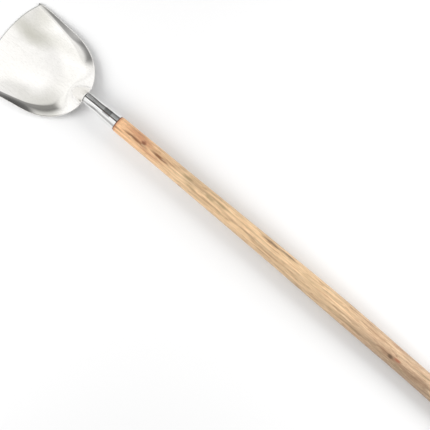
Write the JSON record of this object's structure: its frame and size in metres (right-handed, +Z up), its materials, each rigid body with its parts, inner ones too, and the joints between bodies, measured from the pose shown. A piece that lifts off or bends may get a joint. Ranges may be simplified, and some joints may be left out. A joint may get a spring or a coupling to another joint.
{
  "type": "long-handled wok shovel",
  "caption": "Long-handled cooking spatula with a shallow steel scoop blade, a rolled tapered steel socket and a long round wooden handle.",
  "frame": {"origin": "middle of the blade's flat sole, on the surface the shovel lies on", "axes": "+X runs back along the handle, +Z up out of the open side of the blade, +Y to the side"},
  "size_m": [0.7404, 0.1252, 0.0314],
  "materials": {
    "blade_steel": "polished inside to a soft satin, with fine wear scratches",
    "socket_steel": null,
    "weld_steel": "dressed weld bead",
    "handle_wood": "pale straight-grained hardwood, lightly oiled, with small knots and dark streaks",
    "nail_steel": "plain round-headed steel nail"
  },
  "bodies": {
    "root": {"blade": "blade_steel", "socket": "socket_steel", "neck_weld": "weld_steel", "handle": "handle_wood", "handle_nail": "nail_steel"}
  },
  "joints": []
}
